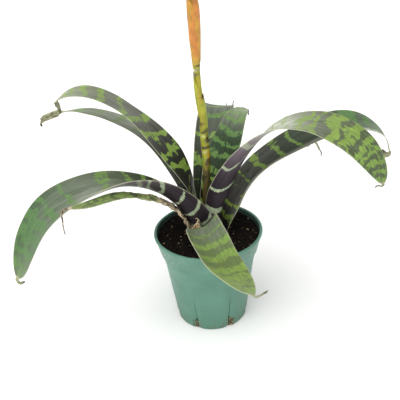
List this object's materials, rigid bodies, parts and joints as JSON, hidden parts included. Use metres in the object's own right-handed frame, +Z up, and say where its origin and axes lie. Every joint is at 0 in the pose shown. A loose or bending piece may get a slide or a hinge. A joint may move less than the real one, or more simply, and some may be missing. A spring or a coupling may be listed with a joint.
{
  "type": "potted bromeliad",
  "caption": "Flaming sword bromeliad with dark crossbanded arching leaves and a flat red flower sword, in a tapered round plastic nursery pot.",
  "frame": {"origin": "middle of the pot's flat underside, on the pot's axis", "axes": "+Z up along the pot and the flower stalk, -Y towards the viewer of the picture, +X to the viewer's right"},
  "size_m": [0.3507, 0.3491, 0.4517],
  "materials": {
    "pot": "satin",
    "soil": "matte",
    "stem": "matte",
    "leaf": "satin",
    "withered_leaf": "matte",
    "dried_husk": "matte",
    "flower_stalk": "satin",
    "flower_bract": "satin"
  },
  "bodies": {
    "root": {"pot": "pot", "potting_soil": "soil", "rosette_stem": "stem", "leaf_left_arching": "leaf", "leaf_left_upper": "leaf", "leaf_left_behind": "leaf", "leaf_left_withered": "withered_leaf", "leaf_back_tall": "leaf", "leaf_back_right": "leaf", "leaf_right_front": "leaf", "leaf_right_behind": "leaf", "leaf_right_hidden": "leaf", "leaf_front": "leaf", "dried_leaf_husk": "dried_husk", "flower_stalk": "flower_stalk", "flower_spike": "flower_bract"}
  },
  "joints": []
}
